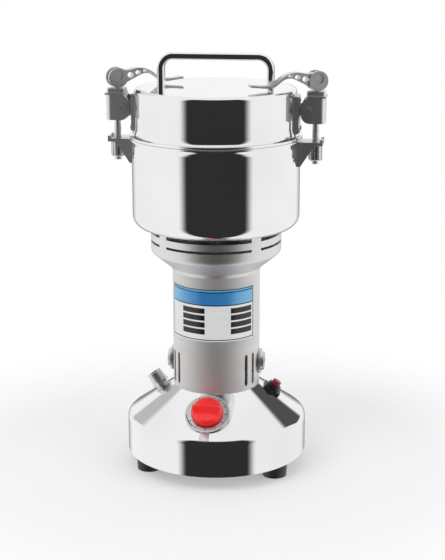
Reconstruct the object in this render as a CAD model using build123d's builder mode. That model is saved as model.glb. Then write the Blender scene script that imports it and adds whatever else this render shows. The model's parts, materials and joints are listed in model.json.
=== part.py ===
"""Swing-type high-speed grinder: a tube motor on a spun base, a steel grinding bowl and a clamped lid.

Millimetres. +Z is up, the front (timer knob) faces -Y, the lid clamps stand on +X and -X, and the
origin is the middle of the footprint on the floor.
"""
from build123d import *
import os
from math import atan2, cos, degrees, radians, sin

os.makedirs("parts", exist_ok=True)

# ---- driving dimensions -------------------------------------------------------------------------
sheet = 1.2                 # wall of every spun steel part
seat_gap = 0.05             # a curved piece seated on another curved piece
running = 0.05              # radial clearance of a shaft in its hole
bolt_clear = 0.2            # radial clearance of a screw in its hole
press_gap = 0.02            # radial gap of a part pressed on or threaded

base_radius = 70.0
foot_height = 12.0
foot_radius = 9.5
foot_circle = 57.0
foot_screw_radius = 2.0
foot_screw_head = 4.0
plate_thickness = 2.0
skirt_height = 28.0         # straight side of the base
cone_rise = 25.3            # from the skirt to the motor tube
shoulder_fillet = 5.0

tube_radius = 33.7
tube_length = 91.7
cup_height = 21.5           # flared cup between tube and vent ring
ring_radius = 50.0
ring_height = 13.0          # vent ring, its top flange included
flange_width = 10.0

bowl_radius = 63.6
bowl_height = 68.3
bowl_corner = 9.0
bowl_floor_thickness = 1.5
bowl_screw_radius = 2.0
bowl_screw_head = 3.8
bowl_screw_circle = 45.0
rim_radius = 65.0
rim_thickness = 1.6

lid_radius = 60.9
lid_height = 36.3
lid_corner = 3.0
seal_thickness = 0.4
lip_gap = 0.03              # seal lip from the rims it lies between
spigot_depth = 9.0

handle_span = 82.6          # between the middles of the two legs
handle_rise = 25.5
handle_bar = 5.3
handle_width = 9.0
handle_bend = 12.0
handle_screw_radius = 2.0
handle_screw_head = 4.0

clamp_radius = 75.3         # bolt axis from the machine's axis
pivot_radius = 69.8         # box pivot from the machine's axis
pivot_drop = 15.5           # box pivot below the lid's top face
pivot_screw_radius = 1.5
rivet_radius = 1.2
box_inner = 64.6
box_outer = 82.6
box_height = 19.0
box_width = 18.0
box_round = 6.5             # rounding of the cheeks, so that they swing clear of the bracket
box_wall = 2.5
saddle_height = 3.1
washer_thickness = 1.2
bolt_radius = 2.5
cam_radius = 7.4
cam_throw = 2.6             # pin above the middle of the cam disc
cam_gap = 0.45
cam_cheek = 2.25            # each cheek of the cam
cam_slot_clear = 0.15       # cam cheek from the bolt
cam_pin_radius = 2.0
cam_slot = 2 * (bolt_radius + cam_slot_clear)
cam_width = cam_slot + 2 * cam_cheek
lever_yaw = {"left": 29.0, "right": 25.0}
nut_radius = 5.2
nut_height = 12.0
nut_gap = 0.3
fork_drop = 2.2             # fork plate below the bowl rim
fork_thickness = 2.4
fork_reach = 81.1
fork_width = 19.0
fork_lip = 2.0              # upturned end of the fork plate
gusset_depth = 16.0

shaft_radius = 4.0
bearing_radius = 11.0
bearing_width = 7.0
core_radius = 20.5
air_gap = 0.5
core_length = 40.0
commutator_radius = 11.0
fan_radius = 44.0
blade_reach = 52.0
chamber_clear = 7.0         # lower blade above the bowl floor

label_height = 40.8
label_thickness = 0.2
label_drop = 8.7            # label top below the tube's top edge
label_half_angle = 64.0
slot_width = 3.0
slot_height = 25.0
slot_angles = (51.0, 64.5)
cap_radius = 9.7
cap_stand = 4.0
cap_flange = 1.6
cap_plug_radius = 7.7
brush_height = 17.7         # brush axis above the tube's foot
brush_width = 6.0
brush_clear = 0.2

knob_radius = 12.3
knob_height = 11.5
dial_radius = 17.0
dial_thickness = 1.0
timer_shaft_radius = 2.5
timer_bush_radius = 3.6
timer_shaft_depth = 14.5    # shaft below the cone's face
dial_from_tube = 15.3       # dial centre outside the motor tube
fitting_from_tube = 9.8     # reset switch and cable gland outside the motor tube
reset_angle = 95.0
gland_angle = -92.0
reset_barrel = 5.3
button_radius = 3.5
button_stand = 8.5
gland_barrel = 4.9
gland_bore = 3.2

# ---- heights ------------------------------------------------------------------------------------
z_skirt = foot_height
z_shoulder = z_skirt + skirt_height
z_tube = z_shoulder + cone_rise
z_cup = z_tube + tube_length
z_ring = z_cup + cup_height
z_bowl = z_ring + ring_height
z_rim = z_bowl + bowl_height
z_lid = z_rim + seal_thickness
z_lid_top = z_lid + lid_height
z_pivot = z_lid_top - pivot_drop
z_box = z_pivot - box_height / 2
z_saddle = z_box + box_height
z_cam_seat = z_saddle + washer_thickness + saddle_height
z_cam = z_cam_seat + cam_gap + cam_radius
z_pin = z_cam + cam_throw
z_fork = z_rim - fork_drop - fork_thickness
z_nut_top = z_fork - nut_gap
z_brush = z_tube + brush_height

cone_slope = atan2(cone_rise, base_radius - tube_radius)
dial_place = tube_radius + dial_from_tube
fitting_place = tube_radius + fitting_from_tube
sleeve_radius = shaft_radius + press_gap


def ring(inner, outer, low, high):
    """Adds a plain turned ring to the open part."""
    with BuildSketch(Plane.XY.offset(low)) as section:
        Circle(outer)
        if inner > 0:
            Circle(inner, mode=Mode.SUBTRACT)
    extrude(section.sketch, amount=high - low)


def turned(points, rounds=()):
    """Adds a closed outline, turned about Z. rounds holds (corner number, radius)."""
    with BuildSketch(Plane.XZ) as section:
        with BuildLine():
            Polyline(*points, close=True)
        make_face()
        for corner, radius in rounds:
            r, z = points[corner]
            fillet(section.vertices().sort_by_distance((r, z, 0))[0], radius)
    revolve(section.sketch, axis=Axis.Z)


def cone_plane(angle, place, lift=0.0):
    """A plane square to the base cone, at an angle from the front and a distance from the axis."""
    a = radians(angle)
    outward = Vector(sin(a), -cos(a), 0)
    normal = outward * sin(cone_slope) + Vector(0, 0, cos(cone_slope))
    height = z_tube - (place - tube_radius) * cone_rise / (base_radius - tube_radius)
    origin = outward * place + Vector(0, 0, height) + normal * lift
    return Plane(origin=origin, x_dir=Vector(cos(a), sin(a), 0), z_dir=normal)


def side_plane(side, radius, height):
    """An upright plane through the machine's axis at one clamp: x outward, y up."""
    out = 1 if side == "right" else -1
    return Plane(origin=(out * radius, 0, height), x_dir=(out, 0, 0), z_dir=(0, -out, 0))


def floor_plane(side, radius, height):
    """A level plane at one clamp: x outward, z up."""
    out = 1 if side == "right" else -1
    return Plane(origin=(out * radius, 0, height), x_dir=(out, 0, 0), z_dir=(0, 0, 1))


def lever_plane(side, height):
    """An upright plane on the bolt axis, turned with the lever: x towards its tip, y up."""
    out = 1 if side == "right" else -1
    yaw = radians(lever_yaw[side])
    return Plane(
        origin=(out * clamp_radius, 0, height),
        x_dir=(-out * cos(yaw), -out * sin(yaw), 0),
        z_dir=(-out * sin(yaw), out * cos(yaw), 0),
    )


def save(builder, name):
    """Labels a finished piece and writes its STEP file."""
    builder.part.label = name
    export_step(builder.part, f"parts/{name}.step")


# ---- base ---------------------------------------------------------------------------------------
with BuildPart() as base_form:
    turned(
        [(0, z_skirt), (base_radius, z_skirt), (base_radius, z_shoulder), (tube_radius, z_tube), (0, z_tube)],
        [(2, shoulder_fillet)],
    )

with BuildPart() as base_hollow:
    turned(
        [
            (0, z_skirt),
            (base_radius - sheet, z_skirt),
            (base_radius - sheet, z_shoulder - sheet / 2),
            (tube_radius - sheet, z_tube - sheet),
            (0, z_tube - sheet),
        ],
        [(2, shoulder_fillet - sheet)],
    )

with BuildPart() as base_shell:
    add(base_form.part)
    add(base_hollow.part, mode=Mode.SUBTRACT)
    with BuildSketch(Plane.XY.offset(z_tube - 2 * sheet)):
        Circle(tube_radius - 8)
    extrude(amount=4 * sheet, mode=Mode.SUBTRACT)
    for angle, place, barrel in (
        (0, dial_place, timer_bush_radius),
        (reset_angle, fitting_place, reset_barrel),
        (gland_angle, fitting_place, gland_barrel),
    ):
        with BuildSketch(cone_plane(angle, place, -8)):
            Circle(barrel + bolt_clear)
        extrude(amount=16, mode=Mode.SUBTRACT)
save(base_shell, "base_shell")

feet_places = PolarLocations(foot_circle, 3, start_angle=-150)
with BuildPart() as base_plate:
    ring(0, base_radius - sheet - 2 * seat_gap, z_skirt, z_skirt + plate_thickness)
    with feet_places:
        with Locations((0, 0, z_skirt)):
            Cylinder(foot_screw_radius + bolt_clear, 10, mode=Mode.SUBTRACT)
    with BuildSketch(Plane.XY.offset(z_skirt)):
        with PolarLocations(25, 6):
            SlotOverall(16, 4)
    extrude(amount=plate_thickness, mode=Mode.SUBTRACT)
save(base_plate, "base_plate")

with BuildPart() as rubber_feet:
    with BuildSketch(Plane.XY.offset(z_skirt)):
        with feet_places:
            Circle(foot_radius + 0.5)
    extrude(amount=-foot_height, taper=4)
    with BuildSketch(Plane.XY):
        with feet_places:
            Circle(foot_screw_head + 1)
    extrude(amount=foot_height - 4, mode=Mode.SUBTRACT)
    with BuildSketch(Plane.XY):
        with feet_places:
            Circle(foot_screw_radius + bolt_clear)
    extrude(amount=foot_height, mode=Mode.SUBTRACT)
save(rubber_feet, "rubber_feet")

with BuildPart() as foot_screws:
    with BuildSketch(Plane.XY.offset(foot_height - 7)):
        with feet_places:
            Circle(foot_screw_head)
    extrude(amount=3)
    with BuildSketch(Plane.XY.offset(foot_height - 4)):
        with feet_places:
            Circle(foot_screw_radius)
    extrude(amount=12)
save(foot_screws, "foot_screws")

# ---- controls on the cone -----------------------------------------------------------------------
dial_plane = cone_plane(0, dial_place)
reset_plane = cone_plane(reset_angle, fitting_place)
gland_plane = cone_plane(gland_angle, fitting_place)

with BuildPart() as base_grown:
    turned(
        [
            (0, z_skirt - 1),
            (base_radius + seat_gap, z_skirt - 1),
            (base_radius + seat_gap, z_shoulder + seat_gap),
            (tube_radius + seat_gap, z_tube + seat_gap),
            (0, z_tube + seat_gap),
        ]
    )


def fitting(plane, outline, top, depth=3.0):
    """A plate on the cone: its top is flat, its back is cut to the cone."""
    with BuildSketch(plane.offset(-depth)) as section:
        add(outline)
    extrude(section.sketch, amount=depth + top)
    add(base_grown.part, mode=Mode.SUBTRACT)


with BuildSketch() as dial_outline:
    Circle(dial_radius)
    Circle(timer_bush_radius + bolt_clear, mode=Mode.SUBTRACT)
with BuildPart() as timer_dial_plate:
    fitting(dial_plane, dial_outline.sketch, dial_thickness)
save(timer_dial_plate, "timer_dial_plate")

with BuildPart() as timer_body:
    with BuildSketch(dial_plane.offset(-26)):
        RectangleRounded(30, 30, 3)
    extrude(amount=21)
    with BuildSketch(dial_plane.offset(-5)):
        Circle(timer_bush_radius)
        Circle(timer_shaft_radius + running, mode=Mode.SUBTRACT)
    extrude(amount=5 + dial_thickness)
    with BuildSketch(dial_plane.offset(-timer_shaft_depth - 0.5)):
        Circle(timer_shaft_radius + running)
    extrude(amount=10, mode=Mode.SUBTRACT)
save(timer_body, "timer_body")

with BuildPart() as timer_shaft:
    with BuildSketch(dial_plane.offset(-timer_shaft_depth)):
        Circle(timer_shaft_radius)
    extrude(amount=timer_shaft_depth + dial_thickness + 8)
save(timer_shaft, "timer_shaft")

knob_base = dial_plane.offset(dial_thickness + 0.5)
with BuildPart() as timer_knob:
    with BuildSketch(knob_base):
        Circle(knob_radius)
    extrude(amount=3)
    with BuildSketch(knob_base.offset(3)):
        Circle(knob_radius - 0.8)
    extrude(amount=3, taper=8)
    with BuildSketch(knob_base.offset(3)):
        RectangleRounded(2 * knob_radius - 3, 7, 2.5)
    extrude(amount=knob_height - 3, taper=8)
    with BuildSketch(knob_base):
        with PolarLocations(knob_radius, 36):
            Circle(0.4)
    extrude(amount=3, mode=Mode.SUBTRACT)
    with BuildSketch(knob_base):
        Circle(timer_shaft_radius + press_gap)
    extrude(amount=8, mode=Mode.SUBTRACT)
save(timer_knob, "timer_knob")

with BuildSketch() as reset_outline:
    RectangleRounded(14, 14, 1.5)
    Circle(button_radius + 0.6, mode=Mode.SUBTRACT)
with BuildPart() as reset_switch_body:
    fitting(reset_plane, reset_outline.sketch, 1.6)
    with BuildSketch(reset_plane.offset(-14)):
        Circle(reset_barrel)
        Circle(button_radius + running, mode=Mode.SUBTRACT)
    extrude(amount=14 + 5)
save(reset_switch_body, "reset_switch_body")

with BuildPart() as reset_button:
    with BuildSketch(reset_plane.offset(-6)):
        Circle(button_radius)
    extrude(amount=6 + button_stand)
    button_rims = edges().filter_by(GeomType.CIRCLE)
    fillet(button_rims.sort_by_distance(reset_plane.offset(button_stand).origin)[0], 0.8)
save(reset_button, "reset_button")

with BuildPart() as cable_gland:
    with BuildSketch(gland_plane.offset(-7)):
        Circle(gland_barrel)
    extrude(amount=7 + 3)
    with BuildSketch(gland_plane.offset(2.2)):
        RegularPolygon(7.0, 6)
    extrude(amount=2.4)
    with BuildSketch(gland_plane.offset(4.6)):
        Circle(6.2)
    extrude(amount=8, taper=4)
    with BuildSketch(gland_plane.offset(-7)):
        Circle(gland_bore)
    extrude(amount=22, mode=Mode.SUBTRACT)
save(cable_gland, "cable_gland")

with BuildPart() as panel_nuts:
    for plane, barrel in ((dial_plane, timer_bush_radius), (reset_plane, reset_barrel), (gland_plane, gland_barrel)):
        with BuildSketch(plane.offset(-sheet - 3.4)):
            RegularPolygon(barrel + 3.0, 6)
            Circle(barrel + running, mode=Mode.SUBTRACT)
        extrude(amount=2.2)
save(panel_nuts, "panel_nuts")

# ---- motor housing ------------------------------------------------------------------------------
tube_inner = tube_radius - sheet


def radial_plane(angle, height, radius=0.0):
    """An upright plane facing outward at an angle from the front: x level, y up."""
    a = radians(angle)
    outward = Vector(sin(a), -cos(a), 0)
    return Plane(origin=outward * radius + Vector(0, 0, height), x_dir=(cos(a), sin(a), 0), z_dir=outward)


with BuildPart() as motor_tube:
    ring(tube_inner, tube_radius, z_tube, z_cup)
    for half_turn in (0, 180):
        for angle in slot_angles:
            for sign in (-1, 1):
                with BuildSketch(radial_plane(half_turn + sign * angle, z_brush - 1.5, tube_inner - 3)):
                    SlotOverall(slot_height, slot_width, rotation=90)
                extrude(amount=8, mode=Mode.SUBTRACT)
    for angle in (90, -90):
        with BuildSketch(radial_plane(angle, z_brush, tube_inner - 5)):
            Circle(cap_plug_radius + 0.3)
        extrude(amount=9, mode=Mode.SUBTRACT)
save(motor_tube, "motor_tube")

with BuildPart() as rating_label:
    label_top = z_cup - label_drop
    with BuildSketch(Plane.XY.offset(label_top - label_height)):
        Circle(tube_radius + seat_gap + label_thickness)
        Circle(tube_radius + seat_gap, mode=Mode.SUBTRACT)
        with BuildLine():
            wide = 2 * tube_radius
            left = (-wide * sin(radians(label_half_angle)), -wide * cos(radians(label_half_angle)))
            right = (-left[0], left[1])
            Polyline((0, 0), left, (-wide, -2 * wide), (wide, -2 * wide), right, close=True)
        make_face(mode=Mode.INTERSECT)
    extrude(amount=label_height)
save(rating_label, "rating_label")

with BuildPart() as brush_caps:
    for angle in (90, -90):
        with BuildSketch(radial_plane(angle, z_brush, tube_radius + seat_gap)):
            Circle(cap_radius)
        extrude(amount=cap_flange)
        with BuildSketch(radial_plane(angle, z_brush, tube_radius + seat_gap + cap_flange)):
            Circle(cap_radius - 2.2)
        extrude(amount=cap_stand - cap_flange, taper=15)
        with BuildSketch(radial_plane(angle, z_brush, tube_inner - 2)):
            Circle(cap_plug_radius)
        extrude(amount=4)
        with BuildSketch(radial_plane(angle, z_brush, tube_radius + cap_stand - 1)):
            Rectangle(9, 1.4)
        extrude(amount=2, mode=Mode.SUBTRACT)
save(brush_caps, "brush_caps")

holder_end = tube_inner - 2
with BuildPart() as brush_holders:
    for angle in (90, -90):
        with BuildSketch(radial_plane(angle, z_brush, commutator_radius + 2)):
            Rectangle(brush_width + 3, brush_width + 3)
            Rectangle(brush_width + 2 * brush_clear, brush_width + 2 * brush_clear, mode=Mode.SUBTRACT)
        extrude(amount=holder_end - commutator_radius - 2)
save(brush_holders, "brush_holders")

with BuildPart() as carbon_brushes:
    for angle in (90, -90):
        with BuildSketch(radial_plane(angle, z_brush, commutator_radius + 0.3)):
            Rectangle(brush_width, brush_width)
        extrude(amount=9)
save(carbon_brushes, "carbon_brushes")

with BuildPart() as brush_springs:
    for angle in (90, -90):
        with BuildSketch(radial_plane(angle, z_brush, commutator_radius + 9.4)):
            Circle(2.6)
            Circle(1.9, mode=Mode.SUBTRACT)
        extrude(amount=holder_end - commutator_radius - 9.5)
save(brush_springs, "brush_springs")

z_core = z_brush + 15
z_core_top = z_core + core_length
stator_bore = core_radius + air_gap
coil_outer = stator_bore + 5.0


def sector(inner, outer, middle, half, low, high, mode=Mode.ADD):
    """Adds a ring sector about Z, half its angle each side of the middle."""
    with BuildSketch(Plane.XY.offset(low)) as section:
        Circle(outer)
        Circle(inner, mode=Mode.SUBTRACT)
        far = 3 * outer
        rays = [radians(middle + step * half / 2) for step in (-2, -1, 0, 1, 2)]
        with BuildLine():
            Polyline((0, 0), *[(far * cos(a), far * sin(a)) for a in rays], close=True)
        make_face(mode=Mode.INTERSECT)
    extrude(section.sketch, amount=high - low, mode=mode)


with BuildPart() as stator_core:
    ring(coil_outer + 0.3, tube_inner - 0.1, z_core, z_core_top)
    for middle in (90, -90):
        sector(stator_bore, coil_outer + 1, middle, 35, z_core, z_core_top)
save(stator_core, "stator_core")

with BuildPart() as field_coils:
    for middle in (90, -90):
        sector(stator_bore + 0.1, coil_outer, middle, 76, z_core - 6, z_core_top + 6)
        sector(stator_bore - 1, coil_outer + 1, middle, 36.5, z_core - 0.4, z_core_top + 0.4, Mode.SUBTRACT)
save(field_coils, "field_coils")

lower_bearing_z = z_tube + 1.4
upper_bearing_z = z_cup + sheet + 2.0


def bearing_bracket(low, width, hub_low, hub_high, seat):
    """Adds a round bracket with a hub, a bearing seat and four air windows."""
    ring(bearing_radius - 2, width, low, low + 2.4)
    ring(bearing_radius - 2, bearing_radius + 3, hub_low, hub_high)
    with BuildSketch(Plane.XY.offset(seat)) as pocket:
        Circle(bearing_radius + press_gap)
    extrude(pocket.sketch, amount=hub_high - seat + 1, mode=Mode.SUBTRACT)
    for quarter in range(4):
        middle = 45 + 90 * quarter
        sector(bearing_radius + 6, width - 4, middle, 28, low - 1, low + 4, Mode.SUBTRACT)


with BuildPart() as lower_bracket:
    bearing_bracket(z_tube, tube_inner - 0.1, z_tube, lower_bearing_z + bearing_width, lower_bearing_z)
save(lower_bracket, "lower_bracket")

with BuildPart() as upper_bracket:
    hub_top = upper_bearing_z + bearing_width
    bearing_bracket(z_cup + sheet, tube_radius - 2, z_cup + sheet, hub_top, upper_bearing_z)
save(upper_bracket, "upper_bracket")


def ball_bearing(low):
    """Outer race, inner race and a caged ring of balls between them."""
    ring(bearing_radius - 2.2, bearing_radius, low, low + bearing_width)
    ring(shaft_radius + running, shaft_radius + 2.2, low, low + bearing_width)
    with BuildSketch(Plane.XY.offset(low + bearing_width / 2)) as balls:
        with PolarLocations((shaft_radius + bearing_radius) / 2, 8):
            Circle(1.2)
    extrude(balls.sketch, amount=1.2, both=True)


with BuildPart() as ball_bearings:
    ball_bearing(lower_bearing_z)
    ball_bearing(upper_bearing_z)
save(ball_bearings, "ball_bearings")

with BuildPart() as bearing_cup:
    mouth = ring_radius - sheet
    turned(
        [
            (22, z_cup),
            (tube_radius, z_cup),
            (tube_radius + 1.6, z_cup + 3),
            (ring_radius, z_cup + 15),
            (ring_radius, z_ring),
            (mouth, z_ring),
            (mouth, z_cup + 15.4),
            (tube_radius + 0.6, z_cup + 3.8),
            (tube_radius - 1, z_cup + sheet),
            (22, z_cup + sheet),
        ],
        [(3, 4.5), (6, 3.5)],
    )
save(bearing_cup, "bearing_cup")

bowl_screw_places = PolarLocations(bowl_screw_circle, 4, start_angle=45)
with BuildPart() as vent_ring:
    ring(ring_radius - sheet, ring_radius, z_ring, z_bowl)
    ring(ring_radius - flange_width, ring_radius - 0.5, z_bowl - sheet, z_bowl)
    for quarter in range(4):
        middle = 90 * quarter
        low_slot = z_ring + 1.3
        sector(ring_radius - 3, ring_radius + 2, middle, 40, low_slot, low_slot + 1.9, Mode.SUBTRACT)
        window = z_bowl - 4.6
        sector(ring_radius - 3, ring_radius + 2, middle, 40, window, z_bowl - sheet, Mode.SUBTRACT)
    with BuildSketch(Plane.XY.offset(z_bowl - 2 * sheet)):
        with bowl_screw_places:
            Circle(bowl_screw_radius + bolt_clear)
    extrude(amount=3 * sheet, mode=Mode.SUBTRACT)
save(vent_ring, "vent_ring")

# ---- bowl ---------------------------------------------------------------------------------------
bowl_inner = bowl_radius - sheet
bowl_floor = z_bowl + bowl_floor_thickness
seal_radius = 9.0
with BuildPart() as grinding_bowl:
    turned(
        [
            (seal_radius + seat_gap, z_bowl),
            (bowl_radius, z_bowl),
            (bowl_radius, z_rim - rim_thickness),
            (rim_radius, z_rim - rim_thickness),
            (rim_radius, z_rim),
            (bowl_inner, z_rim),
            (bowl_inner, bowl_floor),
            (seal_radius + seat_gap, bowl_floor),
        ],
        [(1, bowl_corner), (6, bowl_corner - 1.3)],
    )
    with BuildSketch(Plane.XY.offset(z_bowl - 1)):
        with bowl_screw_places:
            Circle(bowl_screw_radius + bolt_clear)
    extrude(amount=5, mode=Mode.SUBTRACT)
save(grinding_bowl, "grinding_bowl")

with BuildPart() as bowl_screws:
    with BuildSketch(Plane.XY.offset(z_bowl - 7)):
        with bowl_screw_places:
            Circle(bowl_screw_radius)
    extrude(amount=7 + bowl_floor_thickness)
    with BuildSketch(Plane.XY.offset(bowl_floor)):
        with bowl_screw_places:
            Circle(bowl_screw_head)
    extrude(amount=2.2)
    with BuildSketch(Plane.XY.offset(z_bowl - sheet - 3.2)):
        with bowl_screw_places:
            RegularPolygon(bowl_screw_head - 0.2, 6)
    extrude(amount=3.2)
save(bowl_screws, "bowl_screws")

with BuildPart() as shaft_seal:
    ring(shaft_radius + running, seal_radius, z_bowl - 3, bowl_floor)
    ring(shaft_radius + running, seal_radius + 4, bowl_floor, bowl_floor + 2)
save(shaft_seal, "shaft_seal")

fork_top = z_fork + fork_thickness
with BuildPart() as fork_brackets:
    for side in ("left", "right"):
        with BuildSketch(floor_plane(side, 0, z_fork)):
            with Locations(((bowl_radius - 3 + fork_reach) / 2, 0)):
                Rectangle(fork_reach - bowl_radius + 3, fork_width)
        extrude(amount=fork_thickness)
        with BuildSketch(floor_plane(side, 0, fork_top)):
            with Locations((fork_reach - 0.9, 0)):
                Rectangle(1.8, fork_width)
        extrude(amount=fork_lip)
        for gusset_middle in (-fork_width / 2 + 1, fork_width / 2 - 1):
            with BuildSketch(side_plane(side, 0, 0).offset(gusset_middle)):
                with BuildLine():
                    Polyline(
                        (bowl_radius - 3, z_fork - gusset_depth),
                        (bowl_radius + 1, z_fork - gusset_depth),
                        (fork_reach - 6, z_fork),
                        (bowl_radius - 3, z_fork),
                        close=True,
                    )
                make_face()
            extrude(amount=1, both=True)
        with BuildSketch(floor_plane(side, 0, z_fork - 1)):
            with Locations((clamp_radius, 0)):
                Circle(bolt_radius + 0.4)
            with Locations((clamp_radius + 10, 0)):
                Rectangle(20, 2 * bolt_radius + 0.8)
        extrude(amount=fork_thickness + 6, mode=Mode.SUBTRACT)
    with BuildSketch(Plane.XY.offset(z_fork - 20)):
        Circle(bowl_radius + seat_gap)
    extrude(amount=40, mode=Mode.SUBTRACT)
save(fork_brackets, "fork_brackets")

# ---- rotor --------------------------------------------------------------------------------------
blade_z = bowl_floor + chamber_clear
blade_thickness = 2.0
blade_step = 8.0
shaft_top = blade_z + blade_step + 2 * blade_thickness + 8
with BuildPart() as motor_shaft:
    ring(0, shaft_radius, z_tube + 0.6, shaft_top)
    ring(0, shaft_radius + 2, blade_z - 1.5, blade_z)
save(motor_shaft, "motor_shaft")

with BuildPart() as commutator:
    ring(sleeve_radius, commutator_radius, z_brush - 6, z_brush + 6)
    ring(sleeve_radius, commutator_radius + 1.2, z_brush + 6, z_brush + 7.5)
    with BuildSketch(Plane.XY.offset(z_brush - 7)):
        with PolarLocations(commutator_radius, 24):
            Rectangle(1.2, 0.4)
    extrude(amount=13, mode=Mode.SUBTRACT)
save(commutator, "commutator")

with BuildPart() as rotor_core:
    ring(sleeve_radius, core_radius, z_core, z_core_top)
    with BuildSketch(Plane.XY.offset(z_core)):
        with PolarLocations(core_radius, 12):
            Rectangle(8, 1.6)
    extrude(amount=core_length, mode=Mode.SUBTRACT)
save(rotor_core, "rotor_core")

with BuildPart() as armature_windings:
    ring(sleeve_radius, core_radius - 3, z_core - 6, z_core - 0.1)
    ring(sleeve_radius, core_radius - 3, z_core_top + 0.1, z_core_top + 6)
save(armature_windings, "armature_windings")

fan_z = z_cup + 16.5
with BuildPart() as cooling_fan:
    ring(sleeve_radius, 12, fan_z, fan_z + 11)
    ring(sleeve_radius, fan_radius, fan_z, fan_z + 1.5)
    with BuildSketch(Plane.XY.offset(fan_z)):
        with PolarLocations((fan_radius + 11) / 2, 9):
            Rectangle(fan_radius - 11, 1.4)
    extrude(amount=10)
save(cooling_fan, "cooling_fan")


with BuildPart() as lower_blade:
    with BuildSketch(Plane.XY.offset(blade_z)):
        RectangleRounded(2 * blade_reach, 16, 5, rotation=20)
        Circle(sleeve_radius, mode=Mode.SUBTRACT)
    extrude(amount=blade_thickness)
save(lower_blade, "lower_blade")

with BuildPart() as blade_spacer:
    ring(sleeve_radius, 8, blade_z + blade_thickness, blade_z + blade_thickness + blade_step)
save(blade_spacer, "blade_spacer")

with BuildPart() as upper_blade:
    with BuildSketch(Plane.XY.offset(blade_z + blade_thickness + blade_step)):
        RectangleRounded(2 * blade_reach, 16, 5, rotation=110)
        Circle(sleeve_radius, mode=Mode.SUBTRACT)
    extrude(amount=blade_thickness)
save(upper_blade, "upper_blade")

with BuildPart() as blade_nut:
    nut_z = blade_z + 2 * blade_thickness + blade_step
    with BuildSketch(Plane.XY.offset(nut_z)):
        RegularPolygon(7.5, 6)
        Circle(sleeve_radius, mode=Mode.SUBTRACT)
    extrude(amount=6.5)
save(blade_nut, "blade_nut")

# ---- lid ----------------------------------------------------------------------------------------
lid_inner = lid_radius - sheet
spigot_inner = lid_inner - sheet
handle_x = handle_span / 2
handle_screw_places = [(-handle_x, 0), (handle_x, 0)]
rivet_marks = [(-6.3, z_pivot - 14.8), (6.3, z_pivot - 14.8), (0, z_pivot + 7.2)]
with BuildPart() as lid_shell:
    turned(
        [
            (spigot_inner, z_lid - spigot_depth),
            (lid_inner, z_lid - spigot_depth),
            (lid_inner, z_lid),
            (rim_radius, z_lid),
            (rim_radius, z_lid + rim_thickness),
            (lid_radius, z_lid + rim_thickness),
            (lid_radius, z_lid_top),
            (0, z_lid_top),
            (0, z_lid_top - sheet),
            (lid_inner, z_lid_top - sheet),
            (lid_inner, z_lid + 3),
            (spigot_inner, z_lid + 2),
        ],
        [(6, lid_corner), (9, lid_corner - sheet)],
    )
    with BuildSketch(Plane.XY.offset(z_lid_top - 2 * sheet)):
        with Locations(*handle_screw_places):
            Circle(handle_screw_radius + bolt_clear)
    extrude(amount=3 * sheet, mode=Mode.SUBTRACT)
    for angle in (90, -90):
        with BuildSketch(radial_plane(angle, 0, lid_inner - 4)):
            with Locations(*rivet_marks):
                Circle(rivet_radius + seat_gap)
        extrude(amount=8, mode=Mode.SUBTRACT)
save(lid_shell, "lid_shell")

with BuildPart() as lid_seal:
    lip = z_lid - lip_gap
    seal_low = z_lid - spigot_depth + 2
    turned(
        [
            (lid_inner + seat_gap, seal_low),
            (bowl_inner - 0.3, seal_low),
            (bowl_inner - 0.3, z_rim + lip_gap),
            (rim_radius - 0.6, z_rim + lip_gap),
            (rim_radius - 0.6, lip),
            (lid_inner + seat_gap, lip),
        ]
    )
save(lid_seal, "lid_seal")

with BuildPart() as lid_handle:
    reach = handle_x + handle_bar / 2
    with BuildSketch(Plane.XZ) as handle_outline:
        with BuildLine():
            FilletPolyline(
                (-reach, z_lid_top),
                (-reach, z_lid_top + handle_rise),
                (reach, z_lid_top + handle_rise),
                (reach, z_lid_top),
                radius=handle_bend,
            )
            Line((reach, z_lid_top), (reach - handle_bar, z_lid_top))
            FilletPolyline(
                (reach - handle_bar, z_lid_top),
                (reach - handle_bar, z_lid_top + handle_rise - handle_bar),
                (handle_bar - reach, z_lid_top + handle_rise - handle_bar),
                (handle_bar - reach, z_lid_top),
                radius=handle_bend - handle_bar,
            )
            Line((handle_bar - reach, z_lid_top), (-reach, z_lid_top))
        make_face()
    extrude(amount=handle_width / 2, both=True)
    fillet(faces().filter_by(Axis.Y).edges().filter_by(lambda e: e.center().Z > z_lid_top + 1), 1.8)
    with BuildSketch(Plane.XY.offset(z_lid_top)):
        with Locations(*handle_screw_places):
            Circle(handle_screw_radius + press_gap)
    extrude(amount=9, mode=Mode.SUBTRACT)
save(lid_handle, "lid_handle")

with BuildPart() as handle_screws:
    with BuildSketch(Plane.XY.offset(z_lid_top - sheet - 2.4)):
        with Locations(*handle_screw_places):
            Circle(handle_screw_head)
    extrude(amount=2.4)
    with BuildSketch(Plane.XY.offset(z_lid_top - sheet)):
        with Locations(*handle_screw_places):
            Circle(handle_screw_radius)
    extrude(amount=sheet + 8)
save(handle_screws, "handle_screws")

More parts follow.
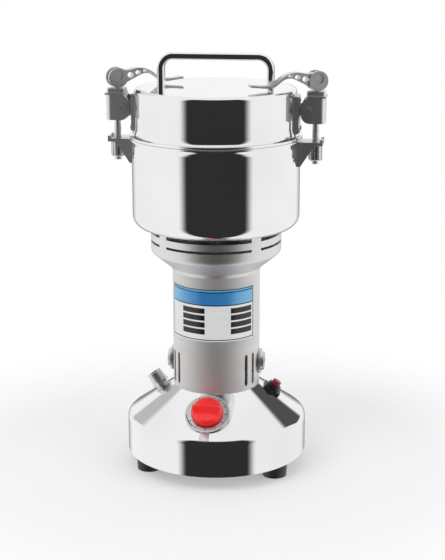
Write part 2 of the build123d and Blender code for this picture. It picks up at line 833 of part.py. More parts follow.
ear_outer = box_width / 2 - box_wall - 0.3
ear_radius = 3.8
plate_face = lid_radius + 2.1
with BuildPart() as lid_brackets:
    for side in ("left", "right"):
        angle = 90 if side == "right" else -90
        with BuildSketch(radial_plane(angle, 0, lid_radius - 2)):
            with Locations((0, z_pivot - 3.4)):
                Rectangle(19, 27.6)
        extrude(amount=plate_face - lid_radius + 2)
        for low in (-ear_outer, ear_outer - 2.2):
            ear_plane = Plane(origin=(0, 0, 0), x_dir=(1 if side == "right" else -1, 0, 0), z_dir=(0, 1, 0))
            up = 1 if side == "left" else -1
            with BuildSketch(ear_plane.offset(low)):
                with Locations((pivot_radius, up * z_pivot)):
                    Circle(ear_radius)
                with Locations(((lid_radius + pivot_radius) / 2, up * z_pivot)):
                    Rectangle(pivot_radius - lid_radius, 2 * ear_radius)
                with Locations((pivot_radius, up * z_pivot)):
                    Circle(pivot_screw_radius + running, mode=Mode.SUBTRACT)
            extrude(amount=2.2)
        with BuildSketch(radial_plane(angle, 0, lid_radius - 2)):
            with Locations(*rivet_marks):
                Circle(rivet_radius + seat_gap)
        extrude(amount=6, mode=Mode.SUBTRACT)
    with BuildSketch(Plane.XY.offset(z_lid + rim_thickness)):
        Circle(lid_radius + seat_gap)
    extrude(amount=60, mode=Mode.SUBTRACT)
    with BuildSketch(Plane.XY.offset(z_lid - 20)):
        Circle(3 * lid_radius)
    extrude(amount=20 + rim_thickness + seat_gap, mode=Mode.SUBTRACT)
save(lid_brackets, "lid_brackets")

with BuildPart() as bracket_rivets:
    for angle in (90, -90):
        with BuildSketch(radial_plane(angle, 0, lid_inner - 1.5)):
            with Locations(*rivet_marks):
                Circle(rivet_radius)
        extrude(amount=plate_face - lid_inner + 1.5)
        with BuildSketch(radial_plane(angle, 0, plate_face)):
            with Locations(*rivet_marks):
                Circle(2)
        extrude(amount=0.9)
save(bracket_rivets, "bracket_rivets")

# ---- clamps -------------------------------------------------------------------------------------
lever_top = [(4.2, 5.6), (8.5, 5.4), (13.9, 6.4), (20.8, 6.2), (27.5, 3.4), (35.0, -1.6), (41.0, -2.4), (52.0, -1.4)]
lever_under = [(52.0, -3.1), (41.0, -4.2), (34.5, -3.8), (27.0, 1.2), (20.8, 2.4), (13.9, -0.3), (9.0, -2.6), (4.2, -5.6)]
lever_holes = [(9.9, 1.6, 5.0, 4.4), (16.0, 3.2, 4.6, 3.4), (21.6, 4.2, 3.6, 2.4)]


def clamp_box(side):
    """The square box that swings on the lid bracket: open towards the lid, bored for the bolt."""
    with BuildPart() as box:
        middle = (box_inner + box_outer) / 2
        with BuildSketch(side_plane(side, middle, z_box + box_height / 2)):
            Rectangle(box_outer - box_inner, box_height)
        extrude(amount=box_width / 2, both=True)
        fillet(edges().filter_by(Axis.Y).group_by(Axis.X)[0 if side == "right" else -1], box_round)
        fillet(edges().filter_by(Axis.Z).group_by(Axis.X)[-1 if side == "right" else 0], 4.0)
        with BuildSketch(side_plane(side, 0, 0)):
            inside_end = box_outer - box_wall
            with Locations(((box_inner - 4 + inside_end) / 2, z_pivot)):
                Rectangle(inside_end - box_inner + 4, box_height - 2 * box_wall)
            with Locations((box_inner, z_pivot)):
                Rectangle(2 * (pivot_radius - 1.8 - box_inner), box_height + 4)
        extrude(amount=box_width / 2 - box_wall, both=True, mode=Mode.SUBTRACT)
        with BuildSketch(floor_plane(side, clamp_radius, z_box - 1)):
            Circle(bolt_radius + running + press_gap)
        extrude(amount=box_height + 2, mode=Mode.SUBTRACT)
        with BuildSketch(side_plane(side, pivot_radius, z_pivot)):
            Circle(pivot_screw_radius + press_gap)
        extrude(amount=box_width, both=True, mode=Mode.SUBTRACT)
    save(box, f"{side}_clamp_box")


def pivot_screw(side):
    """The screw that the box swings on."""
    with BuildPart() as screw:
        plane = side_plane(side, pivot_radius, z_pivot)
        with BuildSketch(plane):
            Circle(pivot_screw_radius)
        extrude(amount=box_width / 2, both=True)
        for end in (box_width / 2, -box_width / 2 - 1.4):
            with BuildSketch(plane.offset(end)):
                Circle(2.8)
            extrude(amount=1.4)
        with BuildSketch(plane.offset(box_width / 2 + 0.6)):
            Rectangle(6, 0.7, rotation=35)
        extrude(amount=2, mode=Mode.SUBTRACT)
        with BuildSketch(plane.offset(-box_width / 2 - 0.6)):
            Rectangle(6, 0.7, rotation=35)
        extrude(amount=-2, mode=Mode.SUBTRACT)
    save(screw, f"{side}_pivot_screw")


def saddle(side):
    """The washer plate and block that the cam bears on."""
    washer_inner = clamp_radius - 6.8
    washer_outer = box_outer + 0.8
    with BuildPart() as block:
        with BuildSketch(floor_plane(side, 0, z_saddle)):
            with Locations(((washer_inner + washer_outer) / 2, 0)):
                RectangleRounded(washer_outer - washer_inner, box_width + 1, 1)
        extrude(amount=washer_thickness)
        with BuildSketch(floor_plane(side, 0, z_saddle + washer_thickness)):
            with Locations((clamp_radius, 0)):
                RectangleRounded(13.4, 13, 1.5)
        extrude(amount=saddle_height)
        with BuildSketch(floor_plane(side, clamp_radius, z_saddle - 1)):
            Circle(bolt_radius + running + press_gap)
        extrude(amount=10, mode=Mode.SUBTRACT)
    save(block, f"{side}_saddle")


def draw_bolt(side):
    """The eye bolt: a threaded shank with a flat eye for the cam pin."""
    with BuildPart() as bolt:
        bolt_low = z_nut_top - nut_height - 2.5
        with BuildSketch(floor_plane(side, clamp_radius, bolt_low)):
            Circle(bolt_radius)
        extrude(amount=z_pin - bolt_low)
        eye = lever_plane(side, z_pin)
        with BuildSketch(eye):
            Circle(cam_pin_radius + 2)
        extrude(amount=cam_slot / 2 - 0.2, both=True)
        with BuildSketch(eye):
            Circle(cam_pin_radius + press_gap)
        extrude(amount=cam_slot, both=True, mode=Mode.SUBTRACT)
    save(bolt, f"{side}_draw_bolt")


def cam_pin(side):
    """The pin through the lever's cheeks and the bolt's eye."""
    with BuildPart() as pin:
        with BuildSketch(lever_plane(side, z_pin)):
            Circle(cam_pin_radius)
        extrude(amount=cam_width / 2 - 0.9, both=True)
    save(pin, f"{side}_cam_pin")


def clamp_nut(side):
    """The long round nut under the fork plate, its top edge bevelled so that it can swing out."""
    with BuildPart() as nut:
        with BuildSketch(floor_plane(side, clamp_radius, z_nut_top - nut_height)):
            Circle(nut_radius)
        extrude(amount=nut_height)
        chamfer(edges().filter_by(GeomType.CIRCLE), 1.0)
        with BuildSketch(floor_plane(side, clamp_radius, z_nut_top - nut_height)):
            with PolarLocations(nut_radius + 0.2, 12):
                Circle(0.55)
            Circle(bolt_radius + press_gap)
        extrude(amount=nut_height, mode=Mode.SUBTRACT)
    save(nut, f"{side}_clamp_nut")


def cam_lever(side):
    """The cast lever: twin cam cheeks, a humped arm with three oval holes and a thin tip."""
    with BuildPart() as lever:
        plane = lever_plane(side, z_cam)
        with BuildSketch(plane):
            with BuildLine():
                Spline(*lever_top)
                Line(lever_top[-1], lever_under[0])
                Spline(*lever_under)
                Line(lever_under[-1], lever_top[0])
            make_face()
            for s, z, long, tall in lever_holes:
                with Locations((s, z)):
                    Ellipse(long / 2, tall / 2, mode=Mode.SUBTRACT)
        extrude(amount=3.6, both=True)
        with BuildSketch(plane):
            Circle(cam_radius)
        extrude(amount=cam_width / 2, both=True)
        with BuildSketch(plane):
            with Locations((0, cam_throw)):
                Circle(4.6)
            with Locations((-1.5, -4)):
                Rectangle(11.6, 14)
            with Locations((-3, 3)):
                Rectangle(14, 14)
        extrude(amount=cam_slot / 2, both=True, mode=Mode.SUBTRACT)
        with BuildSketch(plane):
            with Locations((0, cam_throw)):
                Circle(cam_pin_radius + running)
        extrude(amount=cam_width, both=True, mode=Mode.SUBTRACT)
        for end in (1, -1):
            with BuildSketch(plane.offset(end * (cam_width / 2 - 0.8))):
                with Locations((0, cam_throw - 0.8)):
                    Circle(3.8)
            extrude(amount=end * 2, mode=Mode.SUBTRACT)
    save(lever, f"{side}_cam_lever")


for side in ("left", "right"):
    clamp_box(side)
    pivot_screw(side)
    saddle(side)
    draw_bolt(side)
    cam_pin(side)
    clamp_nut(side)
    cam_lever(side)
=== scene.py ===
"""Swing grinder: finishes, printed and threaded details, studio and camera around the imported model."""
import json
import math

import bmesh
import bpy
from mathutils import Matrix, Vector


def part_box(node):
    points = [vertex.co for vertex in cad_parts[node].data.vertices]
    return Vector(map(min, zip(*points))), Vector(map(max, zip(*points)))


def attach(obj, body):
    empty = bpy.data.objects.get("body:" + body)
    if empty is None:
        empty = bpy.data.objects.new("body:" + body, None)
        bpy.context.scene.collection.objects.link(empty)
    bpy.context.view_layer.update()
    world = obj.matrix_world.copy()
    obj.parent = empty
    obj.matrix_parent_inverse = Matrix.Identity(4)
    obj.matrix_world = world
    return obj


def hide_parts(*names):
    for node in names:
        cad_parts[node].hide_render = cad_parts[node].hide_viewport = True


bl_info = {
    "name": "Swing Grinder",
    "version": (1, 0, 0),
    "blender": (4, 5, 0),
    "location": "View3D > Sidebar > Grinder",
    "description": "Finishes and fine details of a clamped-lid swing grinder",
    "category": "Object",
}

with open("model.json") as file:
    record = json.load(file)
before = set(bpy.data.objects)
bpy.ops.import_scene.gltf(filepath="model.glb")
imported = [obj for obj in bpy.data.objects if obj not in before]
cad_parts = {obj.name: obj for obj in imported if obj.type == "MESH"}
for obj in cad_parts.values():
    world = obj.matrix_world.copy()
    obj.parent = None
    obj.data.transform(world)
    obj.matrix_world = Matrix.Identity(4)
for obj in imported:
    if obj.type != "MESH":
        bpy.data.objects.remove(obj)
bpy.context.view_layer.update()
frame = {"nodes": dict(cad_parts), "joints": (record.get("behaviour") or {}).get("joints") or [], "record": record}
MM = 0.001
STAGE_TURN = math.radians(8)      # the studio faces the machine from a little to its right


# ---- sizes read from the frame --------------------------------------------------------------------
def size(node):
    """The edge lengths of a node's box."""
    low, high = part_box(node)
    return high - low


LABEL_LOW, LABEL_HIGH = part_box("rating_label")
JOINTS = {joint["name"]: joint for joint in frame["joints"]}
DIAL_CENTRE = Vector(JOINTS["timer_turn"]["pos_m"])
DIAL_NORMAL = -Vector(JOINTS["timer_turn"]["axis"])
DIAL_RADIUS = size("timer_dial_plate").x / 2
KNOB_RADIUS = size("timer_knob").x / 2
BOWL_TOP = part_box("grinding_bowl")[1]
RIM_RADIUS = BOWL_TOP.x
SEAL_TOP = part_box("lid_seal")[1].z
LEVEL = Vector((1, 0, 0))         # runs level across the dial
WHITE = (1, 1, 1, 1)


# ---- settings -------------------------------------------------------------------------------------
class GrinderFinish(bpy.types.PropertyGroup):
    """Colours and polish of the grinder."""

    steel: bpy.props.FloatVectorProperty(
        name="Polished steel", description="Colour of the mirror polished steel",
        subtype="COLOR", size=4, min=0, max=1, default=(0.86, 0.86, 0.87, 1))
    steel_roughness: bpy.props.FloatProperty(
        name="Steel roughness", description="Roughness of the mirror polished steel",
        min=0, max=1, default=0.035)
    tube: bpy.props.FloatVectorProperty(
        name="Brushed tube", description="Colour of the brushed motor tube",
        subtype="COLOR", size=4, min=0, max=1, default=(0.92, 0.91, 0.90, 1))
    knob: bpy.props.FloatVectorProperty(
        name="Knob red", description="Colour of the timer knob",
        subtype="COLOR", size=4, min=0, max=1, default=(0.80, 0.010, 0.012, 1))
    band: bpy.props.FloatVectorProperty(
        name="Label band", description="Colour of the band along the label's top",
        subtype="COLOR", size=4, min=0, max=1, default=(0.025, 0.19, 0.47, 1))


class GrinderDetail(bpy.types.PropertyGroup):
    """Sizes of the fine details."""

    tick_count: bpy.props.IntProperty(
        name="Dial ticks", description="Marks round the timer dial", min=12, max=120, default=46)
    flute_count: bpy.props.IntProperty(
        name="Knob flutes", description="Grip flutes round the timer knob", min=12, max=72, default=36)
    roll_height: bpy.props.FloatProperty(
        name="Rim roll", description="Height of the flare above the lid rim",
        unit="LENGTH", min=0.001, max=0.008, default=6.0 * MM)
    thread_pitch: bpy.props.FloatProperty(
        name="Thread pitch", description="Pitch of the clamp bolts' thread",
        unit="LENGTH", min=0.0004, max=0.002, default=0.8 * MM)


def finish():
    """The colours and polish in use."""
    return bpy.context.scene.grinder_finish


def detail():
    """The fine sizes in use."""
    return bpy.context.scene.grinder_detail


# ---- node helpers ---------------------------------------------------------------------------------
class Nodes:
    """A short way to write a node tree."""

    def __init__(self, tree):
        self.tree = tree
        tree.nodes.clear()

    def add(self, kind, **values):
        node = self.tree.nodes.new(kind)
        for name, value in values.items():
            setattr(node, name, value)
        return node

    def link(self, source, target):
        self.tree.links.new(source, target)

    def feed(self, socket, value):
        """Links a socket, or sets it to a plain value."""
        if isinstance(value, bpy.types.NodeSocket):
            self.link(value, socket)
        else:
            socket.default_value = value

    def math(self, operation, *values):
        node = self.add("ShaderNodeMath", operation=operation)
        for index, value in enumerate(values):
            self.feed(node.inputs[index], value)
        return node.outputs[0]

    def step(self, value, low, high):
        """0 below low, 1 above high, smooth between."""
        node = self.add("ShaderNodeMapRange", interpolation_type="SMOOTHSTEP")
        self.feed(node.inputs["Value"], value)
        node.inputs["From Min"].default_value = low
        node.inputs["From Max"].default_value = high
        return node.outputs["Result"]

    def fall(self, value, low, high):
        """1 below low, 0 above high, smooth between."""
        return self.math("SUBTRACT", 1.0, self.step(value, low, high))

    def span(self, value, low, high, soft):
        """1 between low and high, with soft ends."""
        rise = self.step(value, low - soft, low + soft)
        return self.math("MULTIPLY", rise, self.fall(value, high - soft, high + soft))

    def mix(self, factor, first, second):
        node = self.add("ShaderNodeMix", data_type="RGBA")
        self.feed(node.inputs["Factor"], factor)
        self.feed(node.inputs["A"], first)
        self.feed(node.inputs["B"], second)
        return node.outputs["Result"]

    def noise(self, vector, scale, detail_level=3.0):
        node = self.add("ShaderNodeTexNoise")
        self.feed(node.inputs["Vector"], vector)
        node.inputs["Scale"].default_value = scale
        node.inputs["Detail"].default_value = detail_level
        return node.outputs["Fac"]

    def stretched(self, scale):
        """Object coordinates with each axis scaled."""
        coordinates = self.add("ShaderNodeTexCoord")
        mapping = self.add("ShaderNodeMapping")
        self.link(coordinates.outputs["Object"], mapping.inputs["Vector"])
        mapping.inputs["Scale"].default_value = scale
        return mapping.outputs["Vector"]

    def bump(self, height, strength, distance):
        node = self.add("ShaderNodeBump")
        self.link(height, node.inputs["Height"])
        node.inputs["Strength"].default_value = strength
        node.inputs["Distance"].default_value = distance
        return node.outputs["Normal"]


def new_material(name, **sockets):
    """A material with one Principled shader and its nodes."""
    material = bpy.data.materials.new(name)
    material.use_nodes = True
    nodes = Nodes(material.node_tree)
    shader = nodes.add("ShaderNodeBsdfPrincipled")
    output = nodes.add("ShaderNodeOutputMaterial")
    nodes.link(shader.outputs[0], output.inputs[0])
    for socket, value in sockets.items():
        shader.inputs[socket.replace("_", " ")].default_value = value
    return material, nodes, shader


# ---- finishes -------------------------------------------------------------------------------------
def shade(colour, factor):
    """A darker colour, its alpha kept."""
    return tuple(part * factor for part in colour[:3]) + (1,)


def turned_steel(name, colour, roughness, line_scale, line_depth, cloud=0.05):
    """Polished steel with the fine rings that turning leaves."""
    material, nodes, shader = new_material(name, Metallic=1.0)
    rings = nodes.noise(nodes.stretched((1, 1, line_scale)), 18, 2)
    smears = nodes.noise(nodes.stretched((1, 1, 0.6)), 22, 4)
    tone = nodes.mix(nodes.step(smears, 0.3, 0.75), colour, shade(colour, 0.93))
    nodes.link(tone, shader.inputs["Base Color"])
    rough = nodes.math("ADD", roughness, nodes.math("MULTIPLY", smears, cloud))
    nodes.link(rough, shader.inputs["Roughness"])
    nodes.link(nodes.bump(rings, 0.10, line_depth), shader.inputs["Normal"])
    return material


def brushed_steel(name, colour, roughness):
    """Steel brushed round the tube: streaks that run level."""
    material, nodes, shader = new_material(name, Metallic=1.0)
    shader.inputs["Anisotropic"].default_value = 0.5
    streaks = nodes.noise(nodes.stretched((0.6, 0.6, 60)), 60, 4)
    broad = nodes.noise(nodes.stretched((1, 1, 8)), 30, 2)
    tone = nodes.mix(streaks, shade(colour, 0.82), colour)
    nodes.link(tone, shader.inputs["Base Color"])
    rough = nodes.math("ADD", roughness - 0.06, nodes.math("MULTIPLY", broad, 0.14))
    nodes.link(rough, shader.inputs["Roughness"])
    nodes.link(nodes.bump(streaks, 0.18, 0.02 * MM), shader.inputs["Normal"])
    return material


def cast_metal(name, colour, roughness, grain):
    """Cast and plated metal: bright with a soft orange-peel surface."""
    material, nodes, shader = new_material(name, Metallic=1.0)
    grains = nodes.noise(nodes.stretched((1, 1, 1)), grain, 4)
    patches = nodes.noise(nodes.stretched((1, 1, 1)), grain / 6, 2)
    tone = nodes.mix(patches, shade(colour, 0.8), colour)
    nodes.link(tone, shader.inputs["Base Color"])
    rough = nodes.math("ADD", roughness, nodes.math("MULTIPLY", grains, 0.10))
    nodes.link(rough, shader.inputs["Roughness"])
    nodes.link(nodes.bump(grains, 0.25, 0.06 * MM), shader.inputs["Normal"])
    return material


def plastic(name, colour, roughness, grain=900, coat=0.0):
    """Moulded plastic or rubber with a fine grain."""
    material, nodes, shader = new_material(name, Coat_Weight=coat, Coat_Roughness=0.12)
    grains = nodes.noise(nodes.stretched((1, 1, 1)), grain, 3)
    lighter = tuple(min(1, part * 1.25 + 0.004) for part in colour[:3]) + (1,)
    tone = nodes.mix(grains, colour, lighter)
    nodes.link(tone, shader.inputs["Base Color"])
    rough = nodes.math("ADD", roughness, nodes.math("MULTIPLY", grains, 0.12))
    nodes.link(rough, shader.inputs["Roughness"])
    nodes.link(nodes.bump(grains, 0.20, 0.03 * MM), shader.inputs["Normal"])
    return material


def label_print(name, band_colour):
    """A blank rating label: a blue band, thin rules and two columns of dark fields."""
    material, nodes, shader = new_material(name, Metallic=0.1, Coat_Weight=0.2, Coat_Roughness=0.15)
    coordinates = nodes.add("ShaderNodeTexCoord")
    parts = nodes.add("ShaderNodeSeparateXYZ")
    nodes.link(coordinates.outputs["Object"], parts.inputs[0])
    x, y, z = parts.outputs
    angle = nodes.math("ARCTAN2", x, nodes.math("MULTIPLY", y, -1.0))
    low, high = LABEL_LOW.z, LABEL_HIGH.z
    soft = 0.08 * MM
    edge = 0.004
    band_low = high - 12.3 * MM
    strip_low, strip_full = high - 2.3 * MM, high - 1.9 * MM
    band_end = (0.17, 0.47, 0.74, 1)
    strip_blue = (0.10, 0.38, 0.68, 1)
    film, film_light = (0.76, 0.77, 0.77, 1), (0.82, 0.83, 0.83, 1)
    dark = (0.006, 0.006, 0.007, 1)
    rows, row_height, row_half = 4, 5.45 * MM, 2.1 * MM
    first_row = band_low - 4.5 * MM
    left_field = (math.radians(-40), math.radians(-7))
    right_field = (math.radians(27), math.radians(60))
    frame_half = math.radians(62.6)
    rules = (
        (band_low, 0.42),
        (high - 2.1 * MM, 0.38),
        (high - 0.2 * MM, 0.26),
        (low + 1.2 * MM, 0.38),
    )
    sheen = nodes.noise(nodes.stretched((0.5, 0.5, 30)), 40, 2)
    ground = nodes.mix(sheen, film, film_light)
    fade = nodes.step(nodes.math("ABSOLUTE", angle), math.radians(12), math.radians(58))
    band = nodes.mix(fade, band_colour, band_end)
    band = nodes.mix(nodes.step(z, strip_low, strip_full), band, strip_blue)
    colour = nodes.mix(nodes.step(z, band_low - soft, band_low + soft), ground, band)
    ink = None
    for row in range(rows):
        centre = first_row - row * row_height
        inside = nodes.span(z, centre - row_half, centre + row_half, soft)
        ink = inside if ink is None else nodes.math("MAXIMUM", ink, inside)
    left_column = nodes.span(angle, *left_field, edge)
    right_column = nodes.span(angle, *right_field, edge)
    fields = nodes.math("MAXIMUM", left_column, right_column)
    ink = nodes.math("MULTIPLY", ink, fields)
    for height, half in rules:
        ink = nodes.math("MAXIMUM", ink, nodes.span(z, height - half * MM, height + half * MM, soft))
    right_rim = nodes.step(angle, frame_half - edge, frame_half + edge)
    left_rim = nodes.fall(angle, -frame_half - edge, -frame_half + edge)
    ink = nodes.math("MAXIMUM", ink, nodes.math("MAXIMUM", right_rim, left_rim))
    nodes.link(nodes.mix(ink, colour, dark), shader.inputs["Base Color"])
    rough = nodes.math("ADD", 0.24, nodes.math("MULTIPLY", sheen, 0.10))
    nodes.link(rough, shader.inputs["Roughness"])
    nodes.link(nodes.bump(ink, 0.3, 0.02 * MM), shader.inputs["Normal"])
    return material


def slot_materials():
    """Every finish by name: the record's slots, the dial's print and the cup's satin."""
    steel = tuple(finish().steel)
    rough = finish().steel_roughness
    return {
        "polished_steel": turned_steel("polished_steel", steel, rough, 40, 0.006 * MM, 0.03),
        "bracket_steel": turned_steel("bracket_steel", (0.80, 0.80, 0.80, 1), 0.40, 4, 0.02 * MM),
        "nut_steel": cast_metal("nut_steel", (0.70, 0.68, 0.65, 1), 0.18, 500),
        "cast_chrome": cast_metal("cast_chrome", (0.80, 0.80, 0.80, 1), 0.36, 120),
        "brushed_tube": brushed_steel("brushed_tube", tuple(finish().tube), 0.60),
        "dial_aluminium": brushed_steel("dial_aluminium", (0.80, 0.80, 0.79, 1), 0.36),
        "label_film": label_print("label_film", tuple(finish().band)),
        "satin_steel": turned_steel("satin_steel", (0.80, 0.79, 0.78, 1), 0.42, 40, 0.010 * MM),
        "red_knob": plastic("red_knob", tuple(finish().knob), 0.26, 700, 0.35),
        "red_button": plastic("red_button", (0.20, 0.012, 0.022, 1), 0.30, 700, 0.2),
        "black_plastic": plastic("black_plastic", (0.012, 0.012, 0.013, 1), 0.34),
        "black_rubber": plastic("black_rubber", (0.016, 0.016, 0.017, 1), 0.45, 500),
        "silicone": plastic("silicone", (0.80, 0.80, 0.78, 1), 0.42),
        "plate_steel": brushed_steel("plate_steel", (0.52, 0.52, 0.53, 1), 0.34),
        "bearing_steel": turned_steel("bearing_steel", (0.66, 0.66, 0.67, 1), 0.14, 20, 0.02 * MM),
        "blade_steel": brushed_steel("blade_steel", (0.70, 0.70, 0.70, 1), 0.24),
        "core_iron": turned_steel("core_iron", (0.18, 0.18, 0.19, 1), 0.40, 400, 0.05 * MM),
        "copper": cast_metal("copper", (0.72, 0.36, 0.20, 1), 0.26, 800),
        "brush_brass": cast_metal("brush_brass", (0.70, 0.52, 0.22, 1), 0.24, 500),
        "carbon": plastic("carbon", (0.03, 0.03, 0.03, 1), 0.6),
        "spring_steel": turned_steel("spring_steel", (0.60, 0.60, 0.60, 1), 0.2, 60, 0.02 * MM),
        "print_black": plastic("print_black", (0.015, 0.015, 0.016, 1), 0.4, 1500),
    }


MATERIALS = {}


def dress(obj, slot):
    """Gives an object one finish."""
    if not obj.data.materials:
        obj.data.materials.append(MATERIALS[slot])
    for index in range(len(obj.material_slots)):
        obj.material_slots[index].material = MATERIALS[slot]


# ---- geometry node helpers ------------------------------------------------------------------------
def piece_from_tree(name, build, values, slot):
    """Runs a Geometry Nodes tree on an empty mesh and keeps the result as a plain mesh."""
    tree = bpy.data.node_groups.new(name, "GeometryNodeTree")
    tree.interface.new_socket("Geometry", in_out="OUTPUT", socket_type="NodeSocketGeometry")
    for label, value in values.items():
        kind = "NodeSocketInt" if isinstance(value, int) else "NodeSocketFloat"
        tree.interface.new_socket(label, in_out="INPUT", socket_type=kind)
    nodes = Nodes(tree)
    inputs = nodes.add("NodeGroupInput")
    output = nodes.add("NodeGroupOutput")
    result = build(nodes, inputs)
    realize = nodes.add("GeometryNodeRealizeInstances")
    painted = nodes.add("GeometryNodeSetMaterial")
    painted.inputs["Material"].default_value = MATERIALS[slot]
    nodes.link(result, realize.inputs[0])
    nodes.link(realize.outputs[0], painted.inputs["Geometry"])
    nodes.link(painted.outputs[0], output.inputs[0])
    maker = bpy.data.objects.new(name + "_maker", bpy.data.meshes.new(name + "_maker"))
    bpy.context.scene.collection.objects.link(maker)
    modifier = maker.modifiers.new("Nodes", "NODES")
    modifier.node_group = tree
    for item in tree.interface.items_tree:
        if item.item_type == "SOCKET" and item.in_out == "INPUT":
            modifier[item.identifier] = values[item.name]
    graph = bpy.context.evaluated_depsgraph_get()
    mesh = bpy.data.meshes.new_from_object(maker.evaluated_get(graph))
    bpy.data.objects.remove(maker)
    piece = bpy.data.objects.new(name, mesh)
    bpy.context.scene.collection.objects.link(piece)
    dress(piece, slot)
    return piece


def settle(piece, matrix, body):
    """Puts a piece's place into its mesh and rides it on its body."""
    piece.data.transform(matrix)
    piece.data.update()
    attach(piece, body)


def frame_matrix(origin, normal, across):
    """A matrix whose Z is the normal and whose X lies near a given direction."""
    z_axis = normal.normalized()
    x_axis = (across - z_axis * across.dot(z_axis)).normalized()
    y_axis = z_axis.cross(x_axis)
    turn = Matrix((x_axis, y_axis, z_axis)).transposed().to_4x4()
    return Matrix.Translation(origin) @ turn


# ---- mesh helpers ---------------------------------------------------------------------------------
def add_piece(name, form, slot, body):
    """Turns a bmesh into a smooth piece that rides on a body."""
    bmesh.ops.recalc_face_normals(form, faces=form.faces)
    for face in form.faces:
        face.smooth = True
    mesh = bpy.data.meshes.new(name)
    form.to_mesh(mesh)
    form.free()
    mesh.set_sharp_from_angle(angle=math.radians(38))
    piece = bpy.data.objects.new(name, mesh)
    bpy.context.scene.collection.objects.link(piece)
    dress(piece, slot)
    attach(piece, body)
    return piece


def lathe(name, outline, slot, body, segments=192):
    """A closed outline of (radius, height), turned about the machine's axis."""
    form = bmesh.new()
    rings = []
    for step in range(segments):
        angle = 2 * math.pi * step / segments
        rings.append([form.verts.new((r * math.cos(angle), r * math.sin(angle), z)) for r, z in outline])
    for step in range(segments):
        near, far = rings[step], rings[(step + 1) % segments]
        for first in range(len(outline)):
            second = (first + 1) % len(outline)
            form.faces.new((near[first], far[first], far[second], near[second]))
    return add_piece(name, form, slot, body)


def arc(centre, radius, start, end, steps):
    """Points of (radius, height) on an arc, its angles in degrees."""
    angles = [math.radians(start + (end - start) * step / steps) for step in range(steps + 1)]
    return [(centre[0] + radius * math.cos(a), centre[1] + radius * math.sin(a)) for a in angles]


# ---- operators ------------------------------------------------------------------------------------
class GRINDER_OT_finishes(bpy.types.Operator):
    """Give every CAD node its finish."""

    bl_idname = "grinder.finishes"
    bl_label = "Finishes"

    def execute(self, context):
        MATERIALS.update(slot_materials())
        for entry in frame["record"]["subparts"]:
            dress(frame["nodes"][entry["node"]], entry["material_slot"])
        for node in ("bearing_cup", "vent_ring"):
            dress(frame["nodes"][node], "satin_steel")
        return {"FINISHED"}


class GRINDER_OT_dial_marks(bpy.types.Operator):
    """Print the ticks round the timer dial."""

    bl_idname = "grinder.dial_marks"
    bl_label = "Dial marks"

    def execute(self, context):
        def build(nodes, inputs):
            line = nodes.add("GeometryNodeCurveArc", mode="RADIUS")
            line.inputs["Resolution"].default_value = 128
            nodes.link(inputs.outputs["Radius"], line.inputs["Radius"])
            nodes.link(inputs.outputs["Start"], line.inputs["Start Angle"])
            nodes.link(inputs.outputs["Sweep"], line.inputs["Sweep Angle"])
            points = nodes.add("GeometryNodeCurveToPoints", mode="COUNT")
            nodes.link(line.outputs["Curve"], points.inputs["Curve"])
            nodes.link(inputs.outputs["Count"], points.inputs["Count"])
            tick = nodes.add("GeometryNodeMeshCube")
            join = nodes.add("ShaderNodeCombineXYZ")
            nodes.link(inputs.outputs["Length"], join.inputs[0])
            nodes.link(inputs.outputs["Width"], join.inputs[1])
            nodes.link(inputs.outputs["Height"], join.inputs[2])
            nodes.link(join.outputs[0], tick.inputs["Size"])
            place = nodes.add("GeometryNodeInputPosition")
            align = nodes.add("FunctionNodeAlignEulerToVector", axis="X")
            nodes.link(place.outputs[0], align.inputs["Vector"])
            spread = nodes.add("GeometryNodeInstanceOnPoints")
            nodes.link(points.outputs["Points"], spread.inputs["Points"])
            nodes.link(tick.outputs[0], spread.inputs["Instance"])
            nodes.link(align.outputs[0], spread.inputs["Rotation"])
            return spread.outputs[0]

        plate_top = 1.0 * MM
        bold_every = 5
        count = detail().tick_count
        around = {"Start": math.radians(-150), "Sweep": math.radians(270), "Height": 0.10 * MM}
        fine = {"Count": count, "Radius": DIAL_RADIUS - 1.9 * MM, "Length": 1.5 * MM, "Width": 0.45 * MM}
        bold = {
            "Count": count // bold_every + 1,
            "Radius": DIAL_RADIUS - 2.4 * MM,
            "Length": 2.3 * MM,
            "Width": 0.7 * MM,
        }
        line = {
            "Count": 60,
            "Radius": DIAL_RADIUS - 1.3 * MM,
            "Length": 0.6 * MM,
            "Width": 0.6 * MM,
            "Start": math.radians(187),
            "Sweep": math.radians(42),
        }
        place = frame_matrix(DIAL_CENTRE + DIAL_NORMAL * plate_top, DIAL_NORMAL, LEVEL)
        for name, values in (("dial_fine_ticks", fine), ("dial_bold_ticks", bold), ("dial_off_line", line)):
            piece = piece_from_tree(name, build, {**around, **values}, "print_black")
            settle(piece, place, "housing")
        return {"FINISHED"}


